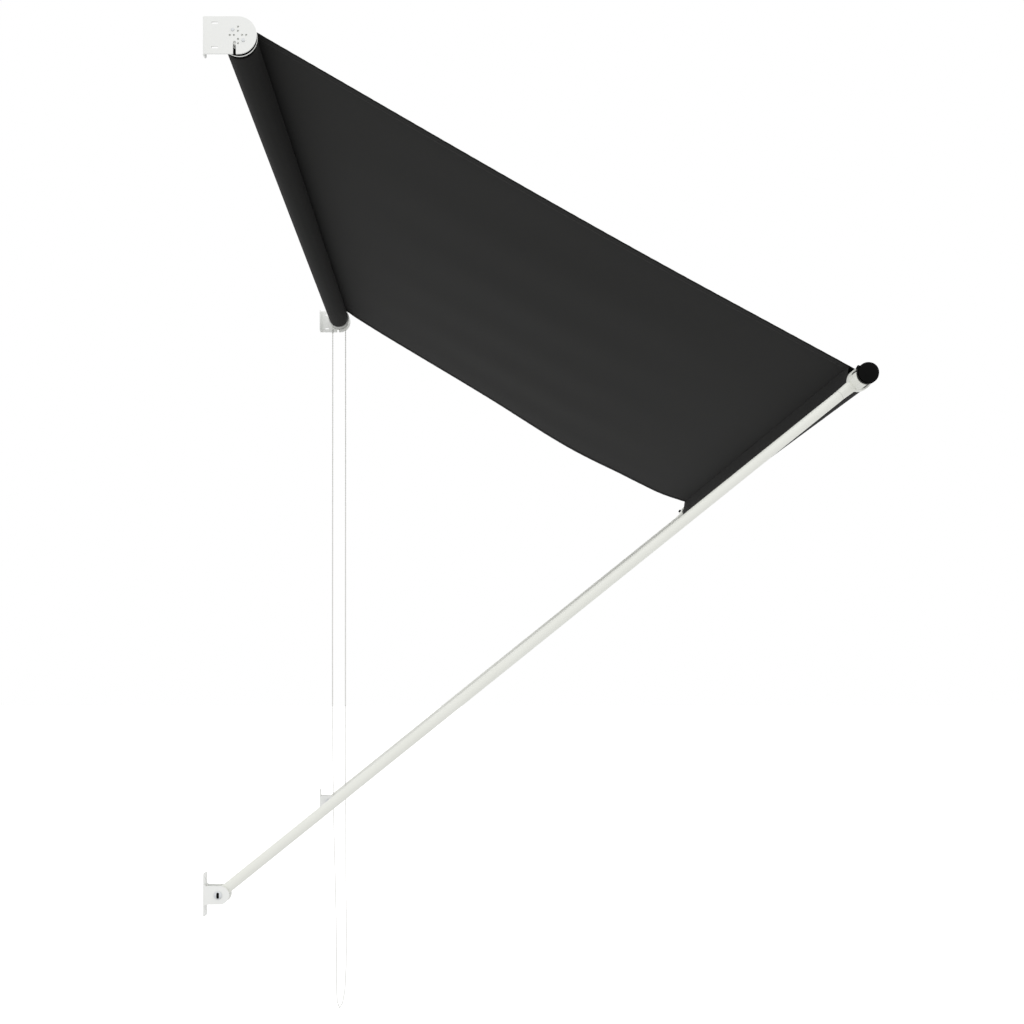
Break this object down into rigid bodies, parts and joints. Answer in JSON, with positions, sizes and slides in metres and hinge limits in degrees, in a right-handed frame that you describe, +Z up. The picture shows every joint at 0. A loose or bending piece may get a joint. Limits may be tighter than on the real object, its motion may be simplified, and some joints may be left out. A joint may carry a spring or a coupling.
{
  "type": "window awning",
  "caption": "Wall-mounted drop-arm canvas awning with a chain-driven roller, straight side arms and a round front bar.",
  "frame": {"origin": "middle of the left roller bracket's back face, on the wall plane, level with the roller's axis", "axes": "+X along the width to the right as seen from in front of the wall, +Y into the wall, +Z up; the awning reaches out towards -Y"},
  "size_m": [2.0964, 1.341, 2.4996],
  "materials": {
    "bracket_paint": "white powder coat, satin",
    "arm_paint": "ivory white powder coat, satin",
    "zinc_steel": "bright zinc plate",
    "nylon": "natural nylon, satin",
    "black_steel": "black oxide",
    "black_plastic": "moulded, satin",
    "white_plastic": "moulded, satin",
    "cloth": "plain woven polyester, matt",
    "chain_plastic": "moulded beads on a cord, satin",
    "grey_plastic": "moulded, satin",
    "bar_paint": "black powder coat, satin",
    "tube_aluminium": "mill finish"
  },
  "bodies": {
    "wall_parts": {"roller_bracket_left": "bracket_paint", "roller_bracket_right": "bracket_paint", "bracket_screw_left_1": "zinc_steel", "bracket_screw_left_2": "zinc_steel", "bracket_screw_right_1": "zinc_steel", "bracket_screw_right_2": "zinc_steel", "idle_hub": "white_plastic", "clutch_housing": "grey_plastic", "brake_spring": "zinc_steel", "chain": "chain_plastic", "chain_connector": "grey_plastic", "arm_bracket_left": "bracket_paint", "pivot_bolt_left": "zinc_steel", "pivot_nut_left": "zinc_steel", "pivot_spacer_left_1": "nylon", "pivot_spacer_left_2": "nylon", "arm_bracket_right": "bracket_paint", "pivot_bolt_right": "zinc_steel", "pivot_nut_right": "zinc_steel", "pivot_spacer_right_1": "nylon", "pivot_spacer_right_2": "nylon"},
    "roller": {"roller_tube": "tube_aluminium", "cloth_roll": "cloth", "roller_plug_left": "white_plastic", "roller_plug_right": "white_plastic", "chain_wheel": "grey_plastic"},
    "left_arm": {"arm_tube_left": "arm_paint", "arm_knuckle_left": "arm_paint", "arm_head_left": "arm_paint", "arm_rivet_left_low": "zinc_steel", "arm_rivet_left_high": "zinc_steel"},
    "right_arm": {"arm_tube_right": "arm_paint", "arm_knuckle_right": "arm_paint", "arm_head_right": "arm_paint", "arm_rivet_right_low": "zinc_steel", "arm_rivet_right_high": "zinc_steel"},
    "front_bar": {"front_bar": "bar_paint", "bar_cap_left": "black_plastic", "bar_cap_right": "black_plastic", "bar_collar_left": "black_plastic", "bar_collar_right": "black_plastic", "collar_screw_left": "black_steel", "collar_screw_right": "black_steel", "hem_sleeve": "cloth", "canopy": "cloth"}
  },
  "joints": [
    {"name": "arm_swing", "type": "hinge", "parent": "wall_parts", "child": "left_arm", "pos_m": [0.004, -0.031, -1.721], "axis": [-1, 0, 0], "range_deg": [0, 46.9], "deforming": ["canopy"]},
    {"name": "right_arm_swing", "type": "hinge", "parent": "wall_parts", "child": "right_arm", "pos_m": [1.972, -0.031, -1.721], "axis": [-1, 0, 0], "range_deg": [0, 46.9]},
    {"name": "bar_turn", "type": "hinge", "parent": "left_arm", "child": "front_bar", "pos_m": [0.004, -1.31847, -0.68585], "axis": [-1, 0, 0], "range_deg": [-46.9, 0]},
    {"name": "roller_turn", "type": "hinge", "parent": "wall_parts", "child": "roller", "pos_m": [0, -0.071, 0], "axis": [-1, 0, 0], "range_deg": [0, 2149]}
  ],
  "couplings": [
    {"joint": "right_arm_swing", "follows": "arm_swing", "ratio": 1},
    {"joint": "bar_turn", "follows": "arm_swing", "ratio": -1},
    {"joint": "roller_turn", "follows": "arm_swing", "ratio": 45.8}
  ]
}
